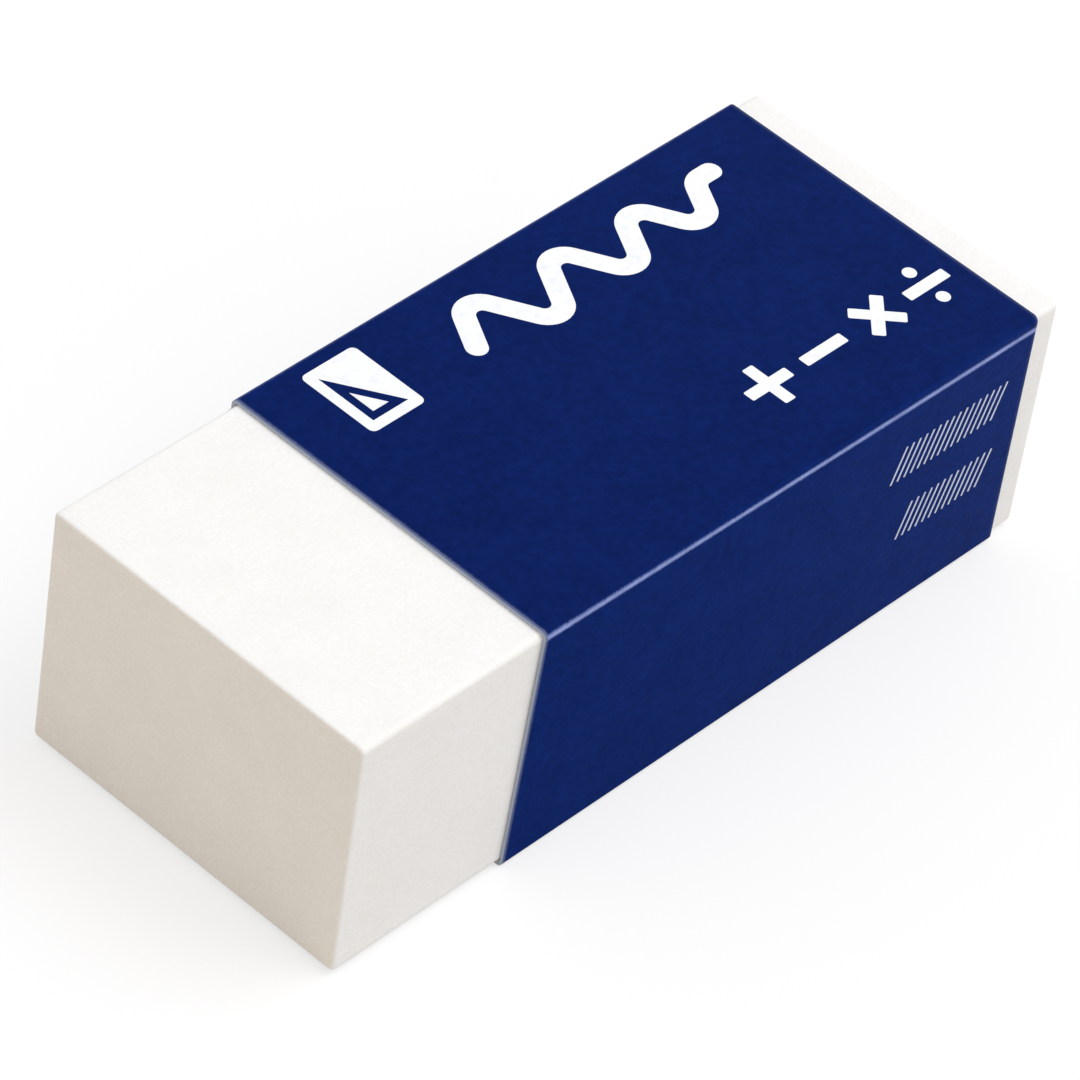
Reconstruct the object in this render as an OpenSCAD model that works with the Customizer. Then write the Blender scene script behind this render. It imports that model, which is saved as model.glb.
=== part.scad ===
// A small white rubber eraser in a printed card sleeve.
// +X runs along the block, away from its working end, and +Z is up.
// The origin is at the bottom centre of the whole, where the sleeve rests on the table.
// The top of the sleeve carries the print, and its glued seam is on the back panel.

/* [Rubber block] */
// Length of the block, from one cut end to the other
block_length = 43; // [30:0.5:70]
// Width of the block across its top
block_width = 18; // [12:0.5:26]
// Height of the block
block_height = 13; // [8:0.5:18]
// Radius of the four long edges, which the extrusion die leaves
long_edge_radius = 0.3; // [0.2:0.05:0.5]
// Radius of the edges round each cut end
cut_edge_radius = 0.2; // [0.1:0.05:0.6]

/* [Card sleeve] */
// Length of the sleeve along the block
sleeve_length = 31; // [15:0.5:60]
// Bare rubber that shows at the working end
working_end = 10.4; // [2:0.2:20]
// Thickness of the card
card_thickness = 0.15; // [0.1:0.01:0.4]
// Gap between the card and the rubber, all round
sleeve_clearance = 0.02; // [0.01:0.01:0.2]
// Height at the foot of the back panel that the glue flap doesn't reach
flap_gap = 3.5; // [1:0.5:6]
// Distance from the top of the sleeve down to the free edge of the back panel
seam_setback = 0.8; // [0.6:0.1:2]

/* [Colours] */
// White of the rubber
rubber_colour = "#F1EEE8";
// Blue of the printed card
card_colour = "#142660";

/* [Hidden] */
$fn = 48;

// The back of the sleeve has two layers of card, the glue flap and the panel over it.
seam_layers = 2;

// The card is folded snugly round the block's long edges.
fold_radius = long_edge_radius + sleeve_clearance;
fold_outer_radius = fold_radius + card_thickness;

// The hollow of the sleeve, as [y, z], from its low corner to its high one
hollow_size = [block_width, block_height] + 2 * [sleeve_clearance, sleeve_clearance];
sleeve_width = hollow_size.x + (1 + seam_layers) * card_thickness;
hollow_low = [card_thickness - sleeve_width / 2, card_thickness];
hollow_high = hollow_low + hollow_size;

// The block lies in the middle of that hollow, centred on the origin along X.
block_low = hollow_low + [sleeve_clearance, sleeve_clearance];
block_high = block_low + [block_width, block_height];
block_start = -block_length / 2;
sleeve_start = block_start + working_end;

// The wrap's one layer all round, and the second layer that the back panel adds
wrap_low = hollow_low - [card_thickness, card_thickness];
wrap_high = hollow_high + [card_thickness, card_thickness];
back_panel_corner = [hollow_high.x + seam_layers * card_thickness, wrap_high.y - seam_setback];
flap_end_corner = [hollow_high.x + card_thickness, hollow_low.y + flap_gap];

// A rectangle between two corners, with all four corners rounded
module rounded_rectangle(low, high, radius) {
    size = high - low;
    translate([low.x + radius, low.y]) square([size.x - 2 * radius, size.y]);
    translate([low.x, low.y + radius]) square([size.x, size.y - 2 * radius]);
    for (x = [low.x + radius, high.x - radius], y = [low.y + radius, high.y - radius])
        translate([x, y]) circle(radius);
}

// A rectangle between two corners, with only its low outer corner rounded by a fold
module folded_rectangle(low, high, radius) {
    size = high - low;
    translate([low.x, low.y + radius]) square([size.x, size.y - radius]);
    translate(low) square([size.x - radius, size.y]);
    translate([high.x - radius, low.y + radius]) circle(radius);
}

// A section drawn as [y, z], drawn out along X
module draw_along_x(start, length) {
    translate([start, 0, 0]) rotate([90, 0, 90]) linear_extrude(length) children();
}

// A side view drawn as [x, z], drawn out along Y
module draw_along_y(start, length) {
    translate([0, start + length, 0]) rotate([90, 0, 0]) linear_extrude(length) children();
}

// A plan drawn as [x, y], drawn out along Z
module draw_along_z(start, length) {
    translate([0, 0, start]) linear_extrude(length) children();
}

// The block is extruded, then cut to length, so its long edges are the rounder ones.
module rubber_block() {
    block_end = block_start + block_length;
    color(rubber_colour) intersection() {
        draw_along_x(block_start, block_length)
            rounded_rectangle(block_low, block_high, long_edge_radius);
        draw_along_y(block_low.x, block_width)
            rounded_rectangle([block_start, block_low.y], [block_end, block_high.y], cut_edge_radius);
        draw_along_z(block_low.y, block_height)
            rounded_rectangle([block_start, block_low.x], [block_end, block_high.x], cut_edge_radius);
    }
}

// One strip of card folded round the block: the glue flap hangs from the top fold, inside,
// and the back panel comes up from the bottom fold over it.
module sleeve_section() {
    difference() {
        union() {
            rounded_rectangle(wrap_low, wrap_high, fold_outer_radius);
            folded_rectangle([0, wrap_low.y], back_panel_corner, fold_outer_radius);
        }
        rounded_rectangle(hollow_low, hollow_high, fold_radius);
        folded_rectangle([0, hollow_low.y], flap_end_corner, fold_radius);
    }
}

module card_sleeve() {
    color(card_colour) draw_along_x(sleeve_start, sleeve_length) sleeve_section();
}

rubber_block();
card_sleeve();
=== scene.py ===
"""A small white eraser in a printed card sleeve, dressed and lit in a plain studio.

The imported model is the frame: +X runs along the block, away from its working end, +Z is up,
and the origin is at the bottom centre, where the sleeve rests on the table. Sizes are written
in millimetres. Each piece is modelled at one unit to the millimetre, and brought to metres
when it is handed to its body.
"""

import logging
import math
from collections.abc import Callable
from dataclasses import dataclass, field
from enum import Enum
from typing import Any

import bmesh
import bpy
from mathutils import Matrix, Quaternion, Vector


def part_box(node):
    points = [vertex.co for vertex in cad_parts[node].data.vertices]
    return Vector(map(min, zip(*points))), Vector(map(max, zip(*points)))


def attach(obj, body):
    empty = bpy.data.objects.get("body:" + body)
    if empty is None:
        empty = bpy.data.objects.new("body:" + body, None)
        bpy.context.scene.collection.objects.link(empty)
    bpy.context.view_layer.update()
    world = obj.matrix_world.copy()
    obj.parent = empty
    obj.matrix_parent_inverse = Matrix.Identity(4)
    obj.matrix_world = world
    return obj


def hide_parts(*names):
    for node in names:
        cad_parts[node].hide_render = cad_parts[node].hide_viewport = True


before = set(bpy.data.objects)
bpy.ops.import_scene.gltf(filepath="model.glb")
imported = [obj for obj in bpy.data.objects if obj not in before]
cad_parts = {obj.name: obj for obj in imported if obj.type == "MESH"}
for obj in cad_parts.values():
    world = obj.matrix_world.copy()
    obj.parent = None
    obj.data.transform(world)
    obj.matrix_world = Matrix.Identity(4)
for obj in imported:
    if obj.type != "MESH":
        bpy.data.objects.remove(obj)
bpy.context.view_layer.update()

# Short names for the types that the signatures below use most
Node = bpy.types.Node
Socket = bpy.types.NodeSocket
Material = bpy.types.Material
Piece = bpy.types.Object

LOG = logging.getLogger("eraser")
MM = 0.001

# How close two places are, in millimetres, to count as one
TOUCH = 0.001

# The angle between faces, in degrees, above which an edge looks sharp
SHARP_ABOVE = 35.0

# Attributes of the folded strip that its print reads: the length along the strip, in millimetres,
# and the place from the near cut, at -1, to the far one, at 1
LAID = "laid_mm"
CUT_TO_CUT = "cut_to_cut"

# Where most values of a cloudy pattern lie, and of a grainy one, which has more contrast
CLOUDY = {"From Min": 0.35, "From Max": 0.65}
GRAINY = {"From Min": 0.3, "From Max": 0.7}

# How far a face's normal has to point along an axis for it to begin to count, and to count in full
FACING = {"From Min": 0.55, "From Max": 0.95}

# How a value eases in and out between its bounds
SMOOTH = {"interpolation_type": "SMOOTHSTEP"}

ALONG = Vector((1.0, 0.0, 0.0))
ACROSS = Vector((0.0, 1.0, 0.0))
UP = Vector((0.0, 0.0, 1.0))


class Body(Enum):
    """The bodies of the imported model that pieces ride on."""

    BLOCK = "block"
    SLEEVE = "sleeve"


class Element(Enum):
    """What an edit-mode operator works on."""

    VERTS = "VERT"
    EDGES = "EDGE"


def linear(hex_colour: str) -> tuple[float, float, float, float]:
    """Turn an sRGB hex colour to the linear colour that a shader reads.

    Args:
        hex_colour: A colour such as "#142660".

    Returns:
        Red, green, blue and an alpha of 1.
    """
    values = [int(hex_colour[i : i + 2], 16) / 255 for i in (1, 3, 5)]
    red, green, blue = (v / 12.92 if v <= 0.04045 else ((v + 0.055) / 1.055) ** 2.4 for v in values)
    return red, green, blue, 1.0


def per_size(size_mm: float) -> float:
    """Return the noise scale that gives features of a size on Object coordinates, in metres."""
    return 1.0 / (size_mm * MM)


def box_mm(node: str) -> tuple[Vector, Vector]:
    """Return the low and high corners of a CAD node at rest, in millimetres."""
    low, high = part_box(node)
    return low / MM, high / MM


def direction_to(azimuth: float, elevation: float) -> Vector:
    """Find the way from the eraser to a lamp or camera.

    Args:
        azimuth: Where it stands, in degrees: 0 is in front, towards -Y, and 90 towards +X.
        elevation: Its height above the horizon, in degrees.

    Returns:
        The direction, one unit long.
    """
    a, e = math.radians(azimuth), math.radians(elevation)
    return Vector((math.sin(a) * math.cos(e), -math.cos(a) * math.cos(e), math.sin(e)))


@dataclass(frozen=True)
class NodeGraph:
    """The nodes of one material, or of the world.

    Attributes:
        tree: The tree that they are added to.
    """

    tree: bpy.types.NodeTree

    def add(
        self,
        kind: str,
        settings: dict[str | int, Any] | None = None,
        links: dict[str | int, Node | Socket] | None = None,
    ) -> Node:
        """Add one node, with its settings and its links.

        Args:
            kind: The type of node, as its identifier without the "ShaderNode" before it.
            settings: Values by input name or number, or by the name of a property of the node. An
                input's colour is given as sRGB hex.
            links: What feeds its inputs, by input name or number: an output, or a node, which
                stands for the first of its outputs in use.

        Returns:
            The new node.
        """
        node = self.tree.nodes.new("ShaderNode" + kind)
        for key, value in (settings or {}).items():
            socket = self.find_input(node, key)
            if socket is None:
                setattr(node, key, value)
            else:
                socket.default_value = linear(value) if isinstance(value, str) else value
        for key, source in (links or {}).items():
            if isinstance(source, Node):
                source = next(output for output in source.outputs if output.enabled)
            self.tree.links.new(source, self.find_input(node, key))
        return node

    def find_input(self, node: Node, key: str | int) -> Socket | None:
        """Find an input of a node.

        Args:
            node: The node.
            key: The input's number, or its name, which is looked for among the inputs in use.

        Returns:
            The input, or nothing if none has that name.
        """
        if isinstance(key, int):
            return node.inputs[key]
        return next((socket for socket in node.inputs if socket.enabled and socket.name == key), None)

    def facing_share(self, axis: str) -> Node:
        """Tell the faces that look along an axis, either way, from those that look across it.

        Args:
            axis: The axis, "X", "Y" or "Z".

        Returns:
            A value of 1 on the first and of 0 on the others.
        """
        normal = self.add("TexCoord").outputs["Normal"]
        facing = self.add("SeparateXYZ", links={0: normal}).outputs[axis]
        along = self.add("Math", {"operation": "ABSOLUTE"}, {0: facing})
        return self.add("MapRange", {**SMOOTH, **FACING}, {"Value": along})


def start_material(name: str) -> tuple[Material, NodeGraph]:
    """Start a material that has no nodes yet.

    Args:
        name: Its name, after the real material.

    Returns:
        The material and its nodes.
    """
    material = bpy.data.materials.new(name)
    material.use_nodes = True
    material.node_tree.nodes.clear()
    return material, NodeGraph(material.node_tree)


def deselect_all() -> None:
    """Leave every object unselected, in object mode."""
    if bpy.context.mode != "OBJECT":
        bpy.ops.object.mode_set(mode="OBJECT")
    bpy.ops.object.select_all(action="DESELECT")


def select_only(piece: Piece) -> None:
    """Select one object and make it the active one, in object mode.

    Args:
        piece: The object.
    """
    deselect_all()
    piece.select_set(True)
    bpy.context.view_layer.objects.active = piece


def pick(kind: Element, test: Callable[[Vector], bool]) -> None:
    """Select the mesh elements whose middle passes a test, and no others, in edit mode.

    Args:
        kind: What to select.
        test: Says of a middle, in millimetres, whether the element is selected.
    """
    bpy.ops.mesh.select_mode(type=kind.value)
    bpy.ops.mesh.select_all(action="DESELECT")
    mesh = bmesh.from_edit_mesh(bpy.context.edit_object.data)
    for element in mesh.verts if kind is Element.VERTS else mesh.edges:
        points = [element.co] if kind is Element.VERTS else [vert.co for vert in element.verts]
        element.select_set(test(sum(points, Vector()) / len(points)))
    mesh.select_flush_mode()
    bmesh.update_edit_mesh(bpy.context.edit_object.data)


def pick_all() -> None:
    """Select the whole mesh, in edit mode."""
    bpy.ops.mesh.select_all(action="SELECT")


def extrude(step: Vector) -> None:
    """Extrude what is selected by a step in millimetres, in edit mode."""
    bpy.ops.mesh.extrude_region_move(TRANSFORM_OT_translate={"value": step})


def face_out() -> None:
    """Turn all faces outwards and leave edit mode."""
    pick_all()
    bpy.ops.mesh.normals_make_consistent(inside=False)
    bpy.ops.object.mode_set(mode="OBJECT")


def make_solid(piece: Piece, step: Vector) -> None:
    """Make a flat shape a closed solid.

    Args:
        piece: The flat shape, in millimetres.
        step: The way and the distance by which it is extruded, in millimetres.
    """
    select_only(piece)
    bpy.ops.object.mode_set(mode="EDIT")
    pick_all()
    extrude(step)
    face_out()


def apply_modifier(piece: Piece, kind: str, **settings: Any) -> None:
    """Add a modifier to a piece, set it up and apply it.

    Args:
        piece: The object that it shapes.
        kind: The type of modifier, as its identifier.
        settings: The modifier's own settings.
    """
    select_only(piece)
    bpy.ops.object.modifier_add(type=kind)
    modifier = piece.modifiers[-1]
    for key, value in settings.items():
        setattr(modifier, key, value)
    bpy.ops.object.modifier_apply(modifier=modifier.name)


def add_rectangle(middle: Vector, along: Vector, across: Vector, length: float, width: float) -> Piece:
    """Add a flat rectangle, and leave it open in edit mode.

    Args:
        middle: Its middle, in millimetres.
        along: The direction of its length.
        across: The direction of its width.
        length: Its length, in millimetres.
        width: Its width, in millimetres.

    Returns:
        The rectangle, which faces along the cross product of its two directions.
    """
    deselect_all()
    turn = Matrix((along, across, along.cross(across))).transposed().to_euler()
    bpy.ops.mesh.primitive_plane_add(size=1.0, location=middle, rotation=turn)
    piece = bpy.context.active_object
    piece.scale = (length, width, 1.0)
    bpy.ops.object.transform_apply(location=True, rotation=True, scale=True)
    bpy.ops.object.mode_set(mode="EDIT")
    return piece


def round_corners(radius: float, segments: int, test: Callable[[Vector], bool]) -> None:
    """Round the corners of a flat face, in edit mode.

    Args:
        radius: The radius of each corner, in millimetres.
        segments: The number of straight steps in each.
        test: Says of a vertex whether it is one of the corners.
    """
    pick(Element.VERTS, test)
    bpy.ops.mesh.bevel(offset=radius, segments=segments, affect="VERTICES")


@dataclass
class Ribbon:
    """A strip that is drawn out from one end, straight on or round a centre.

    It is grown in edit mode: each run extrudes the strip's last edge, and each turn spins it.

    Attributes:
        start: The middle of the strip's first edge, in millimetres.
        heading: The direction in which the strip sets off.
        across: The direction of its width at the start.
        axis: The direction that its turns go round.
        width: Its width, in millimetres.
        rows: The middle of each edge across the strip, and how far along the strip it lies.
        turn_middles: How far along the strip the middle of each turn lies.
    """

    start: Vector
    heading: Vector
    across: Vector
    axis: Vector
    width: float
    rows: list[tuple[Vector, float]] = field(default_factory=list)
    turn_middles: list[float] = field(default_factory=list)

    def begin(self, length: float) -> Piece:
        """Add the strip's first run.

        Args:
            length: The length of the run, in millimetres.

        Returns:
            The strip, open in edit mode with its last edge selected.
        """
        middle = self.start + self.heading * length / 2
        strip = add_rectangle(middle, self.heading, self.across, length, self.width)
        tip = self.start + self.heading * length
        self.rows = [(self.start.copy(), 0.0), (tip, length)]
        pick(Element.EDGES, lambda point: (point - tip).length < length / 4)
        return strip

    def run(self, length: float) -> None:
        """Draw the strip straight on.

        Args:
            length: The length of the run, in millimetres.
        """
        tip, laid = self.rows[-1]
        step = self.heading * length
        extrude(step)
        self.rows.append((tip + step, laid + length))

    def turn(self, radius: float, degrees: float, steps: int) -> None:
        """Draw the strip round a centre beside its last edge.

        Args:
            radius: The distance from that edge's middle to the centre, in millimetres.
            degrees: The angle of the turn, positive to the left as seen along the axis.
            steps: The number of straight steps in the turn.
        """
        tip, laid = self.rows[-1]
        angle = math.radians(degrees)
        side = self.axis.cross(self.heading) * math.copysign(1.0, angle)
        centre = tip + side * radius
        bpy.ops.mesh.spin(steps=steps, angle=-angle, center=centre, axis=self.axis)
        for step in range(1, steps + 1):
            part = Quaternion(self.axis, angle * step / steps)
            length = radius * abs(angle) * step / steps
            self.rows.append((centre + part @ (tip - centre), laid + length))
        self.turn_middles.append(laid + radius * abs(angle) / 2)
        self.heading = Quaternion(self.axis, angle) @ self.heading


@dataclass(frozen=True)
class VinylRubber:
    """Plasticised PVC filled with chalk: dense and white, with a dry satin skin.

    The filler gives the skin a fine grain and a faint cloudiness. The die leaves shallow lines
    along the extruded faces. The cut ends are rougher, with marks of the blade, and painted
    warmer and darker than the skin as painted shade. The edges are rubbed in the box: smoother
    than the faces, and paler, partly from the rubbing and partly as painted highlight.

    Attributes:
        body: Colour of the extruded skin.
        shade: The slightly darker tone that the skin drifts to.
        cut: Colour of the cut ends, painted warmer and darker than the skin as painted shade.
        cut_shade: The tone that the cut ends drift to, with the same painted shade.
        rubbed: Colour of the rubbed edges, paler partly from the rubbing and partly as painted
            highlight.
        ior: Refractive index of plasticised PVC.
        grain_mm: Size of the grain, drawn about twice as coarse as it is, so that it shows.
        drift_mm: Size of the cloudy patches.
        grainy_share: Share of the grain, and not of the patches, in the tone.
        die_line_mm: Distance between the die's lines.
        blade_mark_mm: Distance between the blade's marks.
        blade_slant: Angle of the blade's marks to the vertical, in degrees.
        line_stretch: How much shorter than its length a line or mark is across.
        grain_share: Height of the grain, as a share of the lines' and marks' height.
        relief_mm: Height of those lines and marks.
        smoothest: Roughness where the skin is smoothest.
        roughest: Roughness where it is roughest.
        edge_begins: Pointiness of the shape at which an edge begins to be rubbed.
        edge_full: Pointiness at which it is rubbed most.
        least_rubbed: How far the edges are rubbed, and painted paler, where they are rubbed least.
        most_rubbed: How far they are rubbed, and painted paler, where they are rubbed most.
        glow: Share of the light that passes under the skin.
        glow_mm: How far it passes there.
        glow_tint: How far red, green and blue pass, each as a share of that distance.
    """

    body: str = "#F4F3F2"
    shade: str = "#EEECE9"
    # The cut ends are painted warmer and darker than the skin: painted shade
    cut: str = "#EFE7DD"
    cut_shade: str = "#E7DFD3"
    # The edges are painted paler: partly rubbing, partly painted highlight
    rubbed: str = "#F4F2EF"
    ior: float = 1.53
    grain_mm: float = 0.15
    drift_mm: float = 2.6
    grainy_share: float = 0.65
    die_line_mm: float = 0.32
    blade_mark_mm: float = 0.24
    blade_slant: float = 6.0
    line_stretch: float = 0.04
    grain_share: float = 0.55
    relief_mm: float = 0.022
    smoothest: float = 0.62
    roughest: float = 0.78
    edge_begins: float = 0.51
    edge_full: float = 0.58
    least_rubbed: float = 0.2
    most_rubbed: float = 0.9
    glow: float = 0.12
    glow_mm: float = 0.4
    glow_tint: tuple[float, float, float] = (1.0, 0.9, 0.75)

    def material(self) -> Material:
        """Make the rubber's material.

        Returns:
            The material.
        """
        material, graph = start_material("pvc_vinyl_rubber")
        place = graph.add("TexCoord").outputs["Object"]
        grain, drift = (
            graph.add(
                "TexNoise",
                {"Scale": per_size(size), "Detail": detail, "Roughness": breakup},
                {"Vector": place},
            )
            for size, detail, breakup in ((self.grain_mm, 3.0, 0.6), (self.drift_mm, 4.0, 0.55))
        )
        ends = graph.facing_share("X")
        # Rubbed edges: smoother, and paler partly as painted highlight
        wear = self.edge_wear_and_highlight(graph, drift)
        marks = self.tool_marks(graph, place, ends)
        lift = {"operation": "MULTIPLY_ADD", 1: self.grain_share}
        relief = graph.add("Math", lift, {0: grain, 2: marks})
        bump = graph.add("Bump", {"Strength": 1.0, "Distance": self.relief_mm * MM}, {"Height": relief})
        bounds = {**GRAINY, "To Min": self.smoothest, "To Max": self.roughest}
        coarse = graph.add("MapRange", bounds, {"Value": grain})
        roughness = graph.add("Mix", {"B": self.smoothest}, {"Factor": wear, "A": coarse})
        shader = graph.add(
            "BsdfPrincipled",
            {
                "IOR": self.ior,
                "Subsurface Weight": self.glow,
                "Subsurface Radius": self.glow_tint,
                "Subsurface Scale": self.glow_mm * MM,
            },
            {
                "Base Color": self.tones(graph, grain, drift, ends, wear),
                "Roughness": roughness,
                "Normal": bump,
            },
        )
        graph.add("OutputMaterial", links={"Surface": shader})
        return material

    def tones(self, graph: NodeGraph, grain: Node, drift: Node, ends: Node, wear: Node) -> Node:
        """Colour the skin, the cut ends in painted shade, and the rubbed edges in painted highlight.

        Args:
            graph: The material's nodes.
            grain: The fine grain, from 0 to 1.
            drift: The cloudy patches, from 0 to 1.
            ends: 1 on the cut ends and 0 elsewhere.
            wear: How far the surface is rubbed and painted paler as highlight, from 0 to 1.

        Returns:
            The colour.
        """
        cloud = graph.add("Mix", {"Factor": self.grainy_share}, {"A": drift, "B": grain})
        tone = graph.add("MapRange", CLOUDY, {"Value": cloud})
        # The cut ends' colours are painted warmer and darker than the skin: painted shade
        skin, shaded_cut_face = (
            graph.add("Mix", {"data_type": "RGBA", "A": pale, "B": dark}, {"Factor": tone})
            for pale, dark in ((self.body, self.shade), (self.cut, self.cut_shade))
        )
        faces = graph.add("Mix", {"data_type": "RGBA"}, {"Factor": ends, "A": skin, "B": shaded_cut_face})
        # The rubbed edges are painted paler: partly wear, partly painted highlight
        return graph.add("Mix", {"data_type": "RGBA", "B": self.rubbed}, {"Factor": wear, "A": faces})

    def edge_wear_and_highlight(self, graph: NodeGraph, drift: Node) -> Node:
        """Find how far the surface is rubbed and painted as highlight: more on the edges, unevenly.

        Args:
            graph: The material's nodes.
            drift: The cloudy patches, from 0 to 1.

        Returns:
            That share, from 0 to 1.
        """
        shape = graph.add("NewGeometry").outputs["Pointiness"]
        bounds = {**SMOOTH, "From Min": self.edge_begins, "From Max": self.edge_full}
        edge = graph.add("MapRange", bounds, {"Value": shape})
        bounds = {**CLOUDY, "To Min": self.least_rubbed, "To Max": self.most_rubbed}
        strength = graph.add("MapRange", bounds, {"Value": drift})
        return graph.add("Math", {"operation": "MULTIPLY"}, {0: edge, 1: strength})

    def tool_marks(self, graph: NodeGraph, place: Socket, ends: Node) -> Node:
        """Draw the die's lines and, on the cut ends, the blade's marks.

        Args:
            graph: The material's nodes.
            place: The place on the piece.
            ends: 1 on the cut ends and 0 elsewhere.

        Returns:
            Their height.
        """
        slant = math.radians(self.blade_slant)
        drawn = {"Scale": (self.line_stretch, 1.0, 1.0)}
        dragged = {"Scale": (1.0, 1.0, self.line_stretch), "Rotation": (slant, 0.0, 0.0)}
        die_lines, blade_marks = (
            graph.add(
                "TexNoise",
                {"Scale": per_size(size), "Detail": detail},
                {"Vector": graph.add("Mapping", stretch, {"Vector": place})},
            )
            for size, detail, stretch in (
                (self.die_line_mm, 2.0, drawn),
                (self.blade_mark_mm, 3.0, dragged),
            )
        )
        return graph.add("Mix", links={"Factor": ends, "A": die_lines, "B": blade_marks})


@dataclass(frozen=True)
class Crease:
    """A scored line of the card, along which the pale line is partly wear, partly painted highlight.

    Attributes:
        wear: Share of the print that is gone from the middle of the line; the pale there is partly
            painted highlight.
        past_bend: How far along the strip it lies past the middle of its bend, in millimetres.
        askew: How much further along the strip it lies at the sleeve's far end.
    """

    wear: float
    past_bend: float = 0.0
    askew: float = 0.0


@dataclass(frozen=True)
class PrintedCard:
    """Coated board printed navy all over and varnished matt, with the print worn along creases.

    The ink is stretched thin where the board is scored, so a pale blue line shows there; along
    the top front fold that line is also a painted highlight. Along the cuts it is grazed, and grey
    board shows through. The solid print is faintly mottled, and painted paler on the flanks than
    on the top: painted sheen.

    Attributes:
        ink: Colour of the solid print.
        ink_shade: The tone that the print drifts to.
        sheen_flank_ink: Colour of the solid print on the flanks, painted paler as painted sheen.
        sheen_flank_tone: The tone that it drifts to there, with the same painted sheen.
        thin_ink_and_highlight: Colour where the ink is stretched thin along a crease, and of the
            painted highlight.
        grazed_ink: Colour where the ink is grazed along a cut.
        creases: The scored lines, in order along the strip.
        crease_reach_mm: Distance from a crease's middle at which the wear and painted highlight end.
        least_worn: Share of a crease's wear that is there where it is worn least.
        cut_reach_mm: Distance from a cut at which the wear ends.
        far_cut_wear: Wear along the far cut, as a share of the wear along the near one.
        ragged_mm: How far the borders of the wear stray.
        fleck_mm: Size of the specks along those borders.
        patch_mm: Size of the patches in which a crease is more or less worn.
        mottle_mm: Size of the print's mottle.
        mottle_share: Share of the mottle, and not of the broad patches, in the tone.
        drift_mm: Size of the broad patches of the print.
        fibre_mm: Size of the board's fibres, drawn coarser than they are, so that they show.
        relief_mm: Height of the fibres.
        sag: Height of the board's broad unevenness, in heights of its fibres.
        sheen: Strength of the varnish's reflection, low because its matting scatters it.
        smoothest: Roughness where the varnish is smoothest.
        roughest: Roughness where it is roughest.
    """

    ink: str = "#0A1C52"
    ink_shade: str = "#0D2362"
    # The flanks are painted paler than the top: painted sheen
    sheen_flank_ink: str = "#0B225F"
    sheen_flank_tone: str = "#0E2A71"
    thin_ink_and_highlight: str = "#9BABE6"
    grazed_ink: str = "#6F7998"
    creases: tuple[Crease, ...] = (
        Crease(wear=0.3),
        # The top front fold: its pale line is partly worn ink, partly painted highlight
        Crease(wear=1.0, past_bend=0.18, askew=0.43),
        Crease(wear=0.2),
        Crease(wear=0.3),
    )
    crease_reach_mm: float = 0.22
    least_worn: float = 0.7
    cut_reach_mm: float = 0.24
    far_cut_wear: float = 0.25
    ragged_mm: float = 0.12
    fleck_mm: float = 0.16
    patch_mm: float = 1.3
    mottle_mm: float = 0.4
    mottle_share: float = 0.6
    drift_mm: float = 2.4
    fibre_mm: float = 0.13
    relief_mm: float = 0.01
    sag: float = 8.0
    sheen: float = 0.012
    smoothest: float = 0.52
    roughest: float = 0.66

    def material(self, bends: list[float], low: Vector, high: Vector) -> Material:
        """Make the printed side's material.

        Args:
            bends: The places of the bends' middles along the strip, in millimetres.
            low: Low corner of the sleeve, in millimetres.
            high: High corner of the sleeve, in millimetres.

        Returns:
            The material.
        """
        material, graph = start_material("printed_coated_card")
        place = graph.add("TexCoord").outputs["Object"]
        flecks, drift, fibres, mottle, patches = (
            graph.add(
                "TexNoise",
                {"Scale": per_size(size), "Detail": detail, "Roughness": breakup},
                {"Vector": place},
            )
            for size, detail, breakup in (
                (self.fleck_mm, 3.0, 0.65),
                (self.drift_mm, 4.0, 0.6),
                (self.fibre_mm, 4.0, 0.6),
                (self.mottle_mm, 3.0, 0.6),
                (self.patch_mm, 3.0, 0.7),
            )
        )
        solid = self.solid_print(graph, drift, mottle)
        seat = graph.add("SeparateXYZ", links={0: place}).outputs["X"]
        ends = {"From Min": low.x * MM, "From Max": high.x * MM}
        far_share = graph.add("MapRange", ends, {"Value": seat})
        # The pale line along the creases: partly worn ink, partly painted highlight
        worn = self.crease_wear_and_highlight(graph, far_share, flecks, patches, bends)
        thin = {"data_type": "RGBA", "B": self.thin_ink_and_highlight}
        stretched = graph.add("Mix", thin, {"Factor": worn, "A": solid})
        grazed = self.cut_wear(graph, flecks, (high.x - low.x) / 2)
        bare = {"data_type": "RGBA", "B": self.grazed_ink}
        colour = graph.add("Mix", bare, {"Factor": grazed, "A": stretched})
        lift = {"operation": "MULTIPLY_ADD", 1: self.sag}
        relief = graph.add("Math", lift, {0: drift, 2: fibres})
        bump = graph.add("Bump", {"Strength": 1.0, "Distance": self.relief_mm * MM}, {"Height": relief})
        bounds = {**GRAINY, "To Min": self.smoothest, "To Max": self.roughest}
        shader = graph.add(
            "BsdfPrincipled",
            {"Specular IOR Level": self.sheen},
            {
                "Base Color": colour,
                "Roughness": graph.add("MapRange", bounds, {"Value": fibres}),
                "Normal": bump,
            },
        )
        graph.add("OutputMaterial", links={"Surface": shader})
        return material

    def solid_print(self, graph: NodeGraph, drift: Node, mottle: Node) -> Node:
        """Colour the solid print on the top, and paler on the flanks as painted sheen.

        Args:
            graph: The material's nodes.
            drift: The broad patches, from 0 to 1.
            mottle: The mottle, from 0 to 1.

        Returns:
            The colour.
        """
        density = graph.add("Mix", {"Factor": self.mottle_share}, {"A": drift, "B": mottle})
        tone = graph.add("MapRange", CLOUDY, {"Value": density})
        top, flank = (
            graph.add("Mix", {"data_type": "RGBA", "A": dark, "B": pale}, {"Factor": tone})
            for dark, pale in ((self.ink, self.ink_shade), (self.sheen_flank_ink, self.sheen_flank_tone))
        )
        # The flanks, which face along Y, are painted paler than the top: painted sheen
        flank_sheen_mask = graph.facing_share("Y")
        return graph.add("Mix", {"data_type": "RGBA"}, {"Factor": flank_sheen_mask, "A": top, "B": flank})

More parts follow.
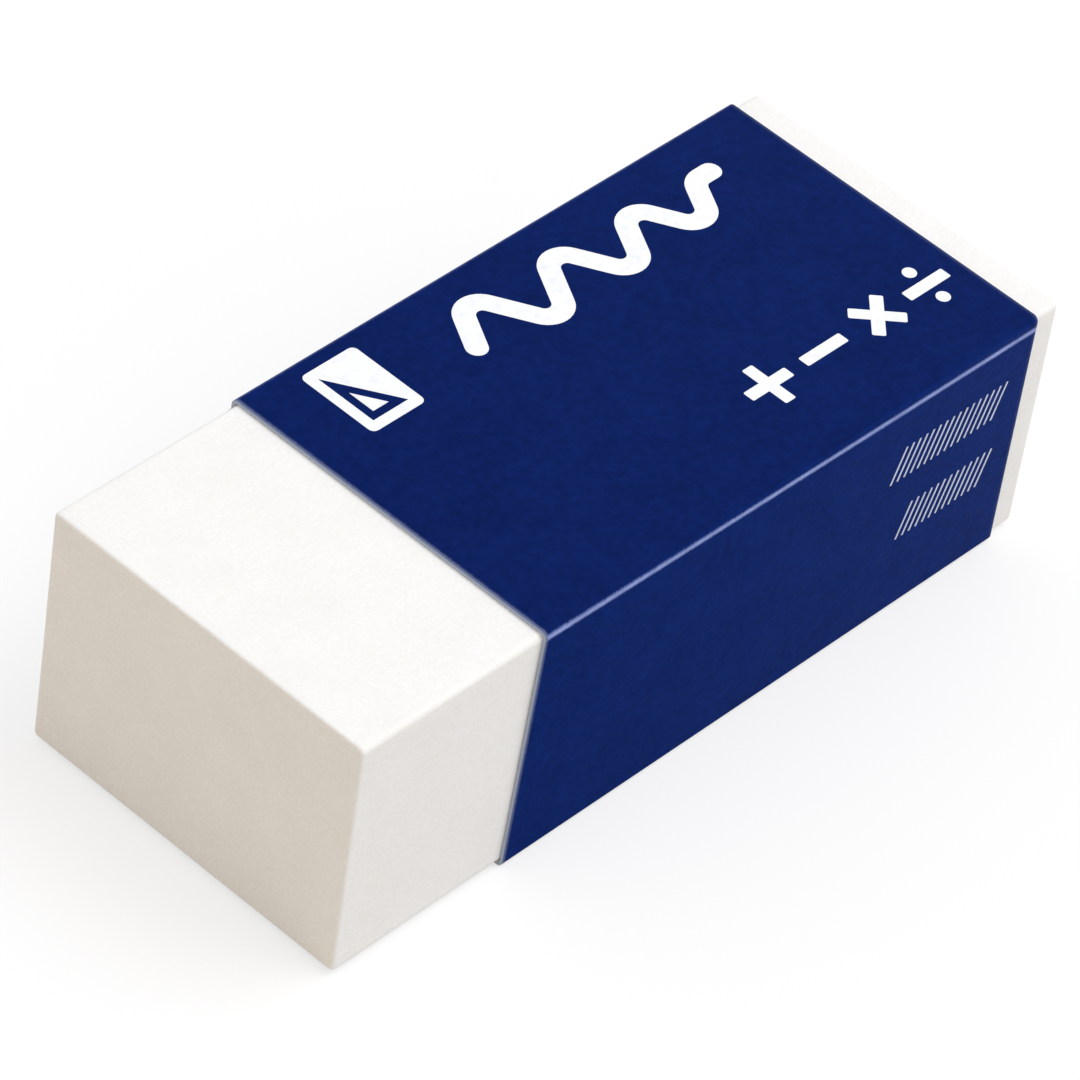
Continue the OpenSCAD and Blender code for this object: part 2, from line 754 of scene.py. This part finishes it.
    def crease_wear_and_highlight(
        self, graph: NodeGraph, far_share: Node, flecks: Node, patches: Node, bends: list[float]
    ) -> Node:
        """Wear the print off along the creases, as a pale line that is partly painted highlight.

        Args:
            graph: The material's nodes.
            far_share: The place along the sleeve, from 0 at its near end to 1 at its far end.
            flecks: Fine specks, from 0 to 1.
            patches: Patches of more and less wear, from 0 to 1.
            bends: The places of the bends' middles along the strip, in millimetres.

        Returns:
            The share that is painted pale: worn off, and partly painted highlight.
        """
        laid = graph.add("Attribute", {"attribute_name": LAID}).outputs["Fac"]
        ragged = graph.add("Math", {"operation": "MULTIPLY", 1: self.ragged_mm}, {0: flecks})
        worst = None
        for crease, bend in zip(self.creases, bends, strict=True):
            course = {"operation": "MULTIPLY_ADD", 1: crease.askew, 2: bend + crease.past_bend}
            line = graph.add("Math", course, {0: far_share})
            offset = graph.add("Math", {"operation": "SUBTRACT"}, {0: laid, 1: line})
            away = graph.add("Math", {"operation": "ABSOLUTE"}, {0: offset})
            strayed = graph.add("Math", {"operation": "ADD"}, {0: away, 1: ragged})
            fading = {
                **SMOOTH,
                "From Min": self.ragged_mm / 2,
                "From Max": self.ragged_mm / 2 + self.crease_reach_mm,
                "To Min": crease.wear,
                "To Max": 0.0,
            }
            wear = graph.add("MapRange", fading, {"Value": strayed})
            if worst is None:
                worst = wear
            else:
                worst = graph.add("Math", {"operation": "MAXIMUM"}, {0: worst, 1: wear})
        strength = graph.add("MapRange", {**CLOUDY, "To Min": self.least_worn}, {"Value": patches})
        return graph.add("Math", {"operation": "MULTIPLY"}, {0: worst, 1: strength})

    def cut_wear(self, graph: NodeGraph, flecks: Node, half_length: float) -> Node:
        """Graze the print off along the cuts.

        Args:
            graph: The material's nodes.
            flecks: Fine specks, from 0 to 1.
            half_length: Half of the sleeve's length, in millimetres.

        Returns:
            The share that is grazed off.
        """
        span = graph.add("Attribute", {"attribute_name": CUT_TO_CUT}).outputs["Fac"]
        outwards = graph.add("Math", {"operation": "ABSOLUTE"}, {0: span})
        stray = self.ragged_mm / half_length
        ragged = {"operation": "MULTIPLY_ADD", 1: stray}
        strayed = graph.add("Math", ragged, {0: flecks, 2: outwards})
        easing = {"From Min": -1.0, "To Min": 1.0, "To Max": self.far_cut_wear}
        most = graph.add("MapRange", easing, {"Value": span})
        fading = {
            **SMOOTH,
            "From Min": 1.0 - self.cut_reach_mm / half_length + stray / 2,
            "From Max": 1.0 + stray / 2,
        }
        return graph.add("MapRange", fading, {"Value": strayed, "To Max": most})


@dataclass(frozen=True)
class BareBoard:
    """Unprinted board: matt and slightly warm, with pulp fibres that run along the sleeve.

    Attributes:
        name: Name of the material.
        pulp: Main colour of the pulp.
        fibre: Colour of the darker fibres.
        fibre_mm: Width of the fibres, drawn coarser than they are, so that they show.
        fibre_stretch: How much shorter than its length a fibre is across.
        fibres_begin: Value of their pattern at which a fibre begins to show.
        fibres_full: Value at which it shows most.
        relief_mm: Height of the fibres.
        softness: Strength of their relief, less than 1 because the pulp is soft.
        sheen: Strength of the board's reflection.
        roughness: Its roughness.
    """

    name: str = "bare_card_board"
    pulp: str = "#E9E6DF"
    fibre: str = "#CFCBC2"
    fibre_mm: float = 0.10
    fibre_stretch: float = 0.25
    fibres_begin: float = 0.45
    fibres_full: float = 0.75
    relief_mm: float = 0.012
    softness: float = 0.6
    sheen: float = 0.3
    roughness: float = 0.9

    def material(self) -> Material:
        """Make the board's material.

        Returns:
            The material.
        """
        material, graph = start_material(self.name)
        place = graph.add("TexCoord").outputs["Object"]
        drawn = graph.add("Mapping", {"Scale": (self.fibre_stretch, 1.0, 1.0)}, {"Vector": place})
        pattern = {"Scale": per_size(self.fibre_mm), "Detail": 5.0, "Roughness": 0.7, "Distortion": 1.2}
        fibres = graph.add("TexNoise", pattern, {"Vector": drawn})
        bounds = {"From Min": self.fibres_begin, "From Max": self.fibres_full}
        dark = graph.add("MapRange", bounds, {"Value": fibres})
        colours = {"data_type": "RGBA", "A": self.pulp, "B": self.fibre}
        relief = {"Strength": self.softness, "Distance": self.relief_mm * MM}
        shader = graph.add(
            "BsdfPrincipled",
            {"Roughness": self.roughness, "Specular IOR Level": self.sheen},
            {
                "Base Color": graph.add("Mix", colours, {"Factor": dark}),
                "Normal": graph.add("Bump", relief, {"Height": fibres}),
            },
        )
        graph.add("OutputMaterial", links={"Surface": shader})
        return material


@dataclass(frozen=True)
class WhiteInk:
    """Opaque white ink on coated card: even and matt, with the navy faintly showing through.

    Attributes:
        name: Name of the material.
        ink: Colour of the ink where it is full.
        thin: Colour where it is thinner.
        mottle_mm: Size of the thinner patches.
        thin_begins: Value of their pattern at which the ink begins to thin.
        thin_full: Value at which it is thinnest.
        sheen: Strength of the ink's reflection.
        smoothest: Roughness where the ink is smoothest.
        roughest: Roughness where it is roughest.
    """

    name: str = "white_printing_ink"
    ink: str = "#F4F5F7"
    thin: str = "#DEE2EE"
    mottle_mm: float = 0.5
    thin_begins: float = 0.5
    thin_full: float = 0.85
    sheen: float = 0.3
    smoothest: float = 0.42
    roughest: float = 0.6

    def material(self) -> Material:
        """Make the ink's material.

        Returns:
            The material.
        """
        material, graph = start_material(self.name)
        place = graph.add("TexCoord").outputs["Object"]
        pattern = {"Scale": per_size(self.mottle_mm), "Detail": 5.0, "Roughness": 0.65}
        mottle = graph.add("TexNoise", pattern, {"Vector": place})
        bounds = {"From Min": self.thin_begins, "From Max": self.thin_full}
        thinness = graph.add("MapRange", bounds, {"Value": mottle})
        colours = {"data_type": "RGBA", "A": self.ink, "B": self.thin}
        coarseness = {"To Min": self.smoothest, "To Max": self.roughest}
        shader = graph.add(
            "BsdfPrincipled",
            {"Specular IOR Level": self.sheen},
            {
                "Base Color": graph.add("Mix", colours, {"Factor": thinness}),
                "Roughness": graph.add("MapRange", coarseness, {"Value": mottle}),
            },
        )
        graph.add("OutputMaterial", links={"Surface": shader})
        return material


def hand_over(piece: Piece, name: str, body: Body, materials: list[Material]) -> Piece:
    """Bring a piece to metres, dress it and let it ride on its body.

    Args:
        piece: The piece, modelled in millimetres.
        name: What it is called.
        body: The body that it moves with.
        materials: Its materials, in the order of its slots.

    Returns:
        The piece.
    """
    select_only(piece)
    piece.scale = (MM, MM, MM)
    bpy.ops.object.transform_apply(location=True, rotation=True, scale=True)
    bpy.ops.object.shade_smooth_by_angle(angle=math.radians(SHARP_ABOVE))
    piece.name = name
    piece.data.name = name
    for index, material in enumerate(materials):
        if index < len(piece.material_slots):
            piece.material_slots[index].material = material
        else:
            piece.data.materials.append(material)
    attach(piece, body.value)
    return piece


@dataclass
class RubberBlock:
    """The block of rubber, extruded through a die and cut to length at both ends.

    Attributes:
        long_edge_radius: Radius of the four long edges.
        cut_edge_radius: Radius of the edges round each cut end.
        edge_segments: Straight steps in each rounded edge.
        grid_step: Spacing of the mesh's grid.
        grid_margin: Distance from a rounded edge to the nearest line of that grid.
        unevenness: How far the faces dip, because the rubber isn't stiff when it is cut.
        swell_size: Size of those dips.
        finish: What the rubber looks like.
    """

    long_edge_radius: float = 0.3
    cut_edge_radius: float = 0.2
    edge_segments: int = 6
    grid_step: float = 1.0
    grid_margin: float = 0.1
    unevenness: float = 0.035
    swell_size: float = 6.0
    finish: VinylRubber = field(default_factory=VinylRubber)

    def build(self) -> Piece:
        """Model the block.

        Returns:
            The finished block.
        """
        low, high = box_mm("rubber_block")
        size = high - low
        middle = (low + high) / 2
        start = Vector((low.x, middle.y, middle.z))
        block = add_rectangle(start, ACROSS, UP, size.y, size.z)
        round_corners(self.long_edge_radius, self.edge_segments, lambda point: True)
        pick_all()
        extrude(ALONG * size.x)
        pick(Element.EDGES, lambda point: abs(point.x - middle.x) > size.x / 2 - TOUCH)
        bpy.ops.mesh.bevel(offset=self.cut_edge_radius, segments=self.edge_segments, affect="EDGES")
        for axis in (ALONG, ACROSS, UP):
            self.cut_grid(axis, low.dot(axis), high.dot(axis))
        face_out()
        self.settle(block)
        hand_over(block, "vinyl_block", Body.BLOCK, [self.finish.material()])
        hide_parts("rubber_block")
        return block

    def cut_grid(self, axis: Vector, low: float, high: float) -> None:
        """Cut the mesh into even slices across one direction, in edit mode.

        Args:
            axis: The direction.
            low: Where the block begins along it, in millimetres.
            high: Where it ends.
        """
        margin = self.long_edge_radius + self.grid_margin
        slices = round((high - low - 2 * margin) / self.grid_step)
        step = (high - low - 2 * margin) / slices
        for index in range(slices + 1):
            pick_all()
            point = axis * (low + margin + index * step)
            bpy.ops.mesh.bisect(plane_co=point, plane_no=axis, threshold=TOUCH / 10)

    def settle(self, block: Piece) -> None:
        """Let the faces dip slightly and softly, and never outwards.

        Args:
            block: The block, in millimetres.
        """
        dips = bpy.data.textures.new("soft_dips", type="CLOUDS")
        dips.noise_scale = self.swell_size
        dips.noise_depth = 1
        reach = {"texture_coords": "LOCAL", "mid_level": 1.0, "strength": self.unevenness}
        apply_modifier(block, "DISPLACE", texture=dips, **reach)


@dataclass
class CardSleeve:
    """One strip of printed card, folded round the block and glued to itself on the back.

    Attributes:
        card: Thickness of the card.
        fold_radius: Inside radius of each fold, which is pressed sharper than the CAD model's.
        fold_steps: Straight steps in each fold.
        flap_gap: Height at the foot of the back that the glue flap doesn't reach.
        seam_setback: Distance from the top down to the free edge of the back panel.
        glue_film: Thickness of the glue between the flap and the back panel.
        cut_edge_radius: Radius of the card's own cut edges.
        cut_edge_angle: The angle between faces, in degrees, above which an edge is a cut edge.
        cut_lean: How far the near cut of the front panel slopes towards the working end, from
            the top fold down to the bottom fold.
        print_side: What the card's printed side looks like.
        inside: What its inside looks like.
        shaded_cut_side: What the cuts through it look like: grey-blue, partly the ink's tint, partly
            painted shade.
    """

    card: float = 0.15
    fold_radius: float = 0.15
    fold_steps: int = 10
    flap_gap: float = 3.5
    seam_setback: float = 0.8
    glue_film: float = 0.005
    cut_edge_radius: float = 0.02
    cut_edge_angle: float = 60.0
    cut_lean: float = 0.5
    print_side: PrintedCard = field(default_factory=PrintedCard)
    inside: BareBoard = field(default_factory=BareBoard)
    # The cut edges are painted grey-blue: partly the ink's tint, partly painted shade
    shaded_cut_side: BareBoard = field(
        default_factory=lambda: BareBoard(name="inked_and_shaded_cut_edge", pulp="#A6ADBC", fibre="#929AAC")
    )

    def build(self) -> Piece:
        """Model the sleeve.

        Returns:
            The finished sleeve.
        """
        low, high = box_mm("card_sleeve")
        ribbon = self.fold(low, high)
        sleeve = bpy.context.edit_object
        pick_all()
        bpy.ops.mesh.remove_doubles(threshold=TOUCH)
        face_out()
        self.turn_top_up(sleeve, high.z)
        self.mark_places(sleeve, ribbon, (low.x + high.x) / 2)
        self.slope_near_cut(low)
        looks = [
            self.print_side.material(ribbon.turn_middles, low, high),
            self.inside.material(),
            self.shaded_cut_side.material(),
        ]
        for _ in looks:
            bpy.ops.object.material_slot_add()
        inwards = {"thickness": self.card, "offset": -1.0, "use_even_offset": True}
        apply_modifier(sleeve, "SOLIDIFY", material_offset=1, material_offset_rim=2, **inwards)
        edges = {"limit_method": "ANGLE", "angle_limit": math.radians(self.cut_edge_angle)}
        apply_modifier(sleeve, "BEVEL", width=self.cut_edge_radius, segments=2, **edges)
        hand_over(sleeve, "folded_sleeve", Body.SLEEVE, looks)
        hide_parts("card_sleeve")
        return sleeve

    def fold(self, low: Vector, high: Vector) -> Ribbon:
        """Draw the strip out from the free end of its glue flap, round to the free edge behind.

        Args:
            low: Low corner of the sleeve, in millimetres.
            high: High corner of the sleeve, in millimetres.

        Returns:
            The strip, open in edit mode.
        """
        radius = self.fold_radius + self.card
        flap_y = high.y - self.card - self.glue_film
        foot = low.z + self.card + self.flap_gap
        start = Vector(((low.x + high.x) / 2, flap_y, foot))
        ribbon = Ribbon(start, UP.copy(), ALONG, ALONG, high.x - low.x)
        ribbon.begin(high.z - radius - foot)
        depth = high.z - low.z - 2 * radius
        top = flap_y - low.y - 2 * radius
        bottom = high.y - low.y - 2 * radius
        for length in (top, depth, bottom, depth + radius - self.seam_setback):
            ribbon.turn(radius, 90.0, self.fold_steps)
            ribbon.run(length)
        return ribbon

    def turn_top_up(self, sleeve: Piece, top: float) -> None:
        """Turn the strip's faces over if its top panel looks down.

        Args:
            sleeve: The strip, before it gets its thickness.
            top: The height of its top panel, in millimetres.
        """
        faces = sleeve.data.polygons
        panel = max(faces, key=lambda face: face.area * (face.center.z > top - TOUCH))
        if panel.normal.z < 0:
            sleeve.data.flip_normals()

    def mark_places(self, sleeve: Piece, ribbon: Ribbon, middle: float) -> None:
        """Store for each vertex how far along the strip it lies, and at which of its two cuts.

        Args:
            sleeve: The strip, before it gets its thickness.
            ribbon: Its rows and how far along each one lies.
            middle: Where the sleeve's middle lies along X, in millimetres.
        """
        for name in (LAID, CUT_TO_CUT):
            sleeve.data.attributes.new(name, "FLOAT", "POINT")
        laid = sleeve.data.attributes[LAID].data
        cut_to_cut = sleeve.data.attributes[CUT_TO_CUT].data
        for vert in sleeve.data.vertices:
            row = min(ribbon.rows, key=lambda row: (row[0].yz - vert.co.yz).length)
            laid[vert.index].value = row[1]
            cut_to_cut[vert.index].value = math.copysign(1.0, vert.co.x - middle)

    def slope_near_cut(self, low: Vector) -> None:
        """Slope the near cut of the front panel, which was cut slightly out of square.

        Args:
            low: Low corner of the sleeve, in millimetres.
        """
        past_fold = self.fold_radius + self.card + TOUCH
        limit = low + Vector((TOUCH, past_fold, past_fold))
        bpy.ops.object.mode_set(mode="EDIT")
        pick(Element.VERTS, lambda point: all(point[axis] < limit[axis] for axis in range(3)))
        bpy.ops.transform.translate(value=-ALONG * self.cut_lean)
        bpy.ops.object.mode_set(mode="OBJECT")


@dataclass(frozen=True)
class Hatching:
    """A row of fine slanting strokes on the front panel, as pencil shading is drawn.

    Attributes:
        name: What the row is called.
        start: Where the middle of its first stroke lies along X.
        level: How high its middle lies.
        count: Number of strokes.
        height: Height of the row.
        lean: How far the strokes lean from the vertical, in degrees.
        stroke: Width of a stroke.
        spacing: Distance from one stroke to the next.
    """

    name: str
    start: float
    level: float
    count: int
    height: float = 1.9
    lean: float = 20.0
    stroke: float = 0.12
    spacing: float = 0.44


@dataclass
class SleevePrint:
    """The white print on the sleeve: plain shapes on its top and its front panel.

    Attributes:
        film: Thickness of the ink.
        sink: How deep the ink lies in the card's surface.
        zigzag_start: Where the zigzag begins, along X and Y.
        stroke: Width of the zigzag's line.
        zigzag_slope: Angle between the zigzag's runs and the sleeve's length, in degrees.
        zigzag_radius: Radius of the zigzag's bends, in the middle of its line.
        zigzag_bends: Number of its bends.
        longest_run: Length of its first run.
        shortest_run: Length of its last run.
        tile_middle: Where the tile's middle lies, along X and Y.
        tile_size: Its size along X and Y.
        tile_corner: Radius of its corners.
        set_square: Size of the set square in it, along X and Y.
        set_square_frame: Width of the set square's own frame.
        signs_y: Where the row of signs lies along Y.
        signs_x: Where the plus, minus, times and division signs lie along X.
        sign_stroke: Width of the lines of the signs.
        sign_size: Height and width of a sign.
        sign_corner: Radius of a sign's corners.
        dot_radius: Radius of the division sign's dots.
        hatchings: The rows of fine strokes.
        ink: The finish of the bold print.
        fine_ink: The finish of the fine strokes, in which white ink lies thinner.
        material: The bold print's material, which its pieces share.
        fine_material: The fine strokes' material.
    """

    film: float = 0.012
    sink: float = 0.004
    zigzag_start: tuple[float, float] = (-1.0, 4.35)
    stroke: float = 1.05
    zigzag_slope: float = 60.0
    zigzag_radius: float = 0.85
    zigzag_bends: int = 7
    longest_run: float = 2.45
    shortest_run: float = 1.1
    tile_middle: tuple[float, float] = (-6.4, 6.0)
    tile_size: tuple[float, float] = (3.2, 4.4)
    tile_corner: float = 0.3
    set_square: tuple[float, float] = (2.1, 3.3)
    set_square_frame: float = 0.42
    signs_y: float = -4.7
    signs_x: tuple[float, float, float, float] = (7.4, 10.9, 14.4, 17.6)
    sign_stroke: float = 0.62
    sign_size: float = 2.6
    sign_corner: float = 0.08
    dot_radius: float = 0.341
    hatchings: tuple[Hatching, ...] = (
        Hatching("print_hatching_upper", start=11.6, level=9.4, count=16),
        Hatching("print_hatching_lower", start=12.8, level=5.5, count=13),
    )
    ink: WhiteInk = field(default_factory=WhiteInk)
    fine_ink: WhiteInk = field(
        default_factory=lambda: WhiteInk(name="thin_white_ink", ink="#CDD3E6", thin="#A6B0D2")
    )
    material: Material = field(init=False)
    fine_material: Material = field(init=False)

    def __post_init__(self) -> None:
        """Make the two materials that the print shares."""
        self.material = self.ink.material()
        self.fine_material = self.fine_ink.material()

    def build(self) -> list[Piece]:
        """Model all the print.

        Returns:
            Its pieces.
        """
        low, high = box_mm("card_sleeve")
        top = high.z - self.sink
        signs = [Vector((x, self.signs_y, top)) for x in self.signs_x]
        pieces = [
            self.zigzag(Vector((*self.zigzag_start, top))),
            self.tile(Vector((*self.tile_middle, top))),
            self.plus(signs[0], "print_plus", 0.0),
            self.thicken(self.bar(signs[1]), "print_minus"),
            self.plus(signs[2], "print_times", 45.0),
            self.divide(signs[3], "print_divide"),
        ]
        return pieces + [self.hatch(row, low.y + self.sink) for row in self.hatchings]

    def thicken(self, piece: Piece, name: str) -> Piece:
        """Give a flat shape on the top the ink's thickness and hand it over."""
        make_solid(piece, UP * self.film)
        return hand_over(piece, name, Body.SLEEVE, [self.material])

    def zigzag(self, start: Vector) -> Piece:
        """Draw a broad zigzag line that calms down along the sleeve.

        Args:
            start: Where the line begins, in millimetres.

        Returns:
            The finished line.
        """
        slope = math.radians(self.zigzag_slope)
        heading = Vector((math.cos(slope), math.sin(slope), 0.0))
        line = Ribbon(start, heading, UP.cross(heading), UP, self.stroke)
        strip = line.begin(self.longest_run)
        for bend in range(self.zigzag_bends):
            calm = (bend + 1) / self.zigzag_bends
            way = 1.0 if bend % 2 else -1.0
            turns = 1 if calm == 1.0 else 2
            line.turn(self.zigzag_radius, way * turns * self.zigzag_slope, 6 * turns)
            line.run(self.longest_run + (self.shortest_run - self.longest_run) * calm)
        ends = (line.rows[0][0], line.rows[-1][0])
        # A corner of an end lies half a stroke from its middle, and its radius is just under that.
        reach, radius = self.stroke * 0.55, self.stroke * 0.49
        round_corners(radius, 5, lambda point: min((point - end).length for end in ends) < reach)
        return self.thicken(strip, "print_zigzag")

    def tile(self, middle: Vector) -> Piece:
        """Make a white tile with a set square left open in it.

        Args:
            middle: The middle of the tile, in millimetres.

        Returns:
            The finished tile.
        """
        tile = add_rectangle(middle, ALONG, ACROSS, *self.tile_size)
        round_corners(self.tile_corner, 4, lambda point: True)
        make_solid(tile, UP * self.film)
        # The cutter reaches a millimetre past the tile, below it and above it.
        square = add_rectangle(middle - UP, ALONG, ACROSS, *self.set_square)
        far_corner = middle - UP + Vector((*self.set_square, 0.0)) / 2
        pick(Element.VERTS, lambda point: (point - far_corner).length < TOUCH)
        bpy.ops.mesh.dissolve_verts()
        pick_all()
        bpy.ops.mesh.inset(thickness=self.set_square_frame)
        bpy.ops.mesh.delete(type="FACE")
        make_solid(square, UP * 2)
        apply_modifier(tile, "BOOLEAN", object=square, operation="DIFFERENCE")
        bpy.data.objects.remove(square)
        return hand_over(tile, "print_tile", Body.SLEEVE, [self.material])

    def plus(self, middle: Vector, name: str, degrees: float) -> Piece:
        """Make a plus sign, or a times sign when it is turned.

        Args:
            middle: The middle of the sign, in millimetres.
            name: What it is called.
            degrees: The angle by which it is turned.

        Returns:
            The finished sign.
        """
        turn = Quaternion(UP, math.radians(degrees))
        core = self.sign_stroke
        arm = (self.sign_size - core) / 2
        sign = add_rectangle(middle, turn @ ALONG, turn @ ACROSS, core, core)
        for quarter in range(4):
            way = turn @ Quaternion(UP, math.radians(90.0 * quarter)) @ ALONG
            side = middle + way * core / 2
            pick(Element.EDGES, lambda point, side=side: (point - side).length < TOUCH)
            extrude(way * arm)
        # Only the corners at the arms' tips lie further from the middle than this.
        inner = self.sign_size * 0.45
        round_corners(self.sign_corner, 3, lambda point: (point - middle).length > inner)
        return self.thicken(sign, name)

    def bar(self, middle: Vector) -> Piece:
        """Make the flat bar of a minus or division sign, and leave it open in edit mode.

        Args:
            middle: The middle of the bar, in millimetres.

        Returns:
            The bar.
        """
        bar = add_rectangle(middle, ALONG, ACROSS, self.sign_size, self.sign_stroke)
        round_corners(self.sign_corner, 3, lambda point: True)
        return bar

    def divide(self, middle: Vector, name: str) -> Piece:
        """Make a division sign: a bar with a dot above it and a dot below it.

        Args:
            middle: The middle of the sign, in millimetres.
            name: What it is called.

        Returns:
            The finished sign.
        """
        bar = self.bar(middle)
        reach = (self.sign_size - self.sign_stroke) / 2
        dot = {"vertices": 24, "radius": self.dot_radius, "fill_type": "NGON"}
        for way in (-reach, reach):
            bpy.ops.mesh.primitive_circle_add(location=middle + ACROSS * way, **dot)
        return self.thicken(bar, name)

    def hatch(self, row: Hatching, front: float) -> Piece:
        """Draw one row of fine strokes on the front panel.

        Args:
            row: The row.
            front: Where the ink's back lies along Y, in millimetres.

        Returns:
            The finished row.
        """
        lean = math.radians(row.lean)
        way = Vector((math.sin(lean), 0.0, math.cos(lean)))
        middle = Vector((row.start, front, row.level))
        strokes = add_rectangle(middle, way.cross(-ACROSS), way, row.stroke, row.height / way.z)
        spread = {"use_constant_offset": True, "constant_offset_displace": ALONG * row.spacing}
        apply_modifier(strokes, "ARRAY", count=row.count, use_relative_offset=False, **spread)
        make_solid(strokes, -ACROSS * self.film)
        return hand_over(strokes, row.name, Body.SLEEVE, [self.fine_material])


@dataclass(frozen=True)
class AreaLamp:
    """A square soft box that looks at the eraser.

    Attributes:
        name: What it is called.
        azimuth: Where it stands, in degrees: 0 is in front, towards -Y, and 90 towards +X.
        elevation: Its height above the horizon, in degrees.
        distance: Its distance from the origin, in metres.
        side: Its width and height, in metres.
        power: Its power, in watts.
    """

    name: str
    azimuth: float
    elevation: float
    distance: float
    side: float
    power: float

    def build(self) -> None:
        """Add the lamp, which is white."""
        deselect_all()
        back = direction_to(self.azimuth, self.elevation)
        turn = (-back).to_track_quat("-Z", "Y").to_euler()
        bpy.ops.object.light_add(type="AREA", location=back * self.distance, rotation=turn)
        lamp = bpy.context.active_object
        lamp.name = self.name
        lamp.data.shape = "SQUARE"
        lamp.data.size = self.side
        lamp.data.energy = self.power


@dataclass
class Studio:
    """A plain white table top under soft light.

    Attributes:
        floor_side: Width and length of the table top, in metres.
        floor_seen: Colour of the table top as it is seen.
        floor_bounce: Colour of the table top for the light that it throws back.
        floor_glow: How far its shadows are brightened, as seen by the camera alone.
        floor_roughness: Roughness of the table top.
        floor_sheen: Strength of its reflection.
        ambient: Strength of the light that comes from all round.
        lamps: The soft boxes.
    """

    floor_side: float = 4.0
    floor_seen: str = "#FAFAFA"
    floor_bounce: str = "#D8D4D0"
    floor_glow: float = 0.6
    floor_roughness: float = 0.9
    floor_sheen: float = 0.2
    ambient: float = 0.70
    lamps: tuple[AreaLamp, ...] = (
        AreaLamp("key_softbox", azimuth=45.0, elevation=62.0, distance=0.8, side=0.5, power=2.9),
        AreaLamp("fill_softbox", azimuth=-75.0, elevation=30.0, distance=0.8, side=0.6, power=0.5),
    )

    def build(self) -> None:
        """Add the table top, the soft boxes and the light all round."""
        deselect_all()
        bpy.ops.mesh.primitive_plane_add(size=self.floor_side)
        floor = bpy.context.active_object
        floor.name = "table_top"
        floor.data.materials.append(self.floor_material())
        for lamp in self.lamps:
            lamp.build()
        self.light_all_round()
        LOG.info("studio: %d soft boxes", len(self.lamps))

    def seen_share(self, graph: NodeGraph) -> Node:
        """Tell the rays that see a surface from those that light others.

        Args:
            graph: The nodes of the material or world.

        Returns:
            A value of 1 for the first and of 0 for the others.
        """
        rays = graph.add("LightPath").outputs
        sight = {0: rays["Is Camera Ray"], 1: rays["Is Glossy Ray"]}
        shiny = graph.add("Math", {"operation": "MAXIMUM"}, sight)
        through = rays["Is Transmission Ray"]
        return graph.add("Math", {"operation": "MAXIMUM"}, {0: shiny, 1: through})

    def floor_material(self) -> Material:
        """Make the table top's material, matt white paper.

        Returns:
            The material.
        """
        material, graph = start_material("matt_white_paper")
        seen = self.seen_share(graph)
        colours = {"data_type": "RGBA", "A": self.floor_bounce, "B": self.floor_seen}
        paper = graph.add(
            "BsdfPrincipled",
            {"Roughness": self.floor_roughness, "Specular IOR Level": self.floor_sheen},
            {"Base Color": graph.add("Mix", colours, {"Factor": seen})},
        )
        white = graph.add("Emission", {"Strength": 1.0})
        glow = graph.add("Math", {"operation": "MULTIPLY", 1: self.floor_glow}, {0: seen})
        surface = graph.add("MixShader", links={0: glow, 1: paper, 2: white})
        graph.add("OutputMaterial", links={"Surface": surface})
        return material

    def light_all_round(self) -> None:
        """Set the world: white where it is seen, and weaker where it lights the eraser."""
        world = bpy.data.worlds.new("studio_world")
        bpy.context.scene.world = world
        world.use_nodes = True
        world.node_tree.nodes.clear()
        graph = NodeGraph(world.node_tree)
        seen = self.seen_share(graph)
        strength = graph.add("MapRange", {"To Min": self.ambient}, {"Value": seen})
        light = graph.add("Background", {"Color": "#FFFFFF"}, {"Strength": strength})
        graph.add("OutputWorld", links={"Surface": light})


@dataclass
class PortraitCamera:
    """The camera, at the photograph's place: a long lens from above the working end.

    Attributes:
        aim: The point that it looks at, in millimetres.
        distance: Its distance from that point, in millimetres.
        azimuth: Where it stands, in degrees: 0 is in front, towards -Y, and 90 towards +X.
        elevation: Its height above the horizon, in degrees.
        roll: How far it is turned about its own line of sight, in degrees.
        lens: Focal length, in millimetres.
        sensor: Width of the sensor, in millimetres.
        nearest: The nearest distance that it sees, in millimetres.
    """

    aim: tuple[float, float, float] = (-1.382, -0.675, 6.5)
    distance: float = 301.7
    azimuth: float = -52.524
    elevation: float = 42.901
    roll: float = 9.211
    lens: float = 235.71
    sensor: float = 36.0
    nearest: float = 10.0

    def build(self) -> None:
        """Add the camera and make it the scene's own."""
        deselect_all()
        back = direction_to(self.azimuth, self.elevation)
        turn = (-back).to_track_quat("-Z", "Y") @ Quaternion(UP, math.radians(self.roll))
        place = (Vector(self.aim) + back * self.distance) * MM
        bpy.ops.object.camera_add(location=place, rotation=turn.to_euler())
        camera = bpy.context.active_object
        camera.name = "portrait_camera"
        camera.data.lens = self.lens
        camera.data.sensor_width = self.sensor
        camera.data.clip_start = self.nearest * MM
        bpy.context.scene.camera = camera


def main() -> None:
    """Build the eraser, its print and its studio, in that order, and report each piece."""
    logging.basicConfig(level=logging.INFO, format="%(name)s: %(message)s")
    bpy.context.scene.view_settings.view_transform = "Standard"
    for piece in (RubberBlock().build(), CardSleeve().build(), *SleevePrint().build()):
        LOG.info("%s: %d faces", piece.name, len(piece.data.polygons))
    Studio().build()
    PortraitCamera().build()


if __name__ == "__main__":
    main()
